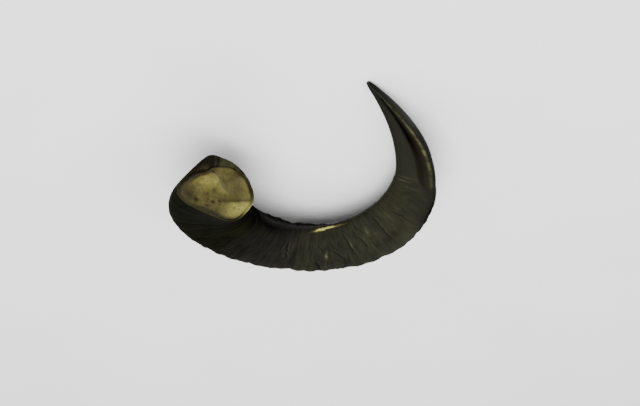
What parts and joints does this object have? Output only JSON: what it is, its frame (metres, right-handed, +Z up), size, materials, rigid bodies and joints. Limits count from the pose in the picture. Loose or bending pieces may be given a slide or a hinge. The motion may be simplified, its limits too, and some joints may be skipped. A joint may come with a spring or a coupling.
{
  "type": "ram horn",
  "caption": "Curled ram's horn with ridged growth rings, triangular section, open mouth with the end of its bony core, and a narrow pointed tip, lying on its side.",
  "frame": {"origin": "centre of the floor area that the lying horn covers, on the surface it lies on", "axes": "+Z up with the horn lying on its side, broad face up; +X along its longest extent, towards the side of the mouth; the mouth and the tip open towards -Y"},
  "size_m": [0.2832, 0.27, 0.1185],
  "materials": {
    "horn": "satin",
    "bone": "matte"
  },
  "bodies": {
    "root": {"horn_sheath": "horn", "bone_core": "bone"}
  },
  "joints": []
}
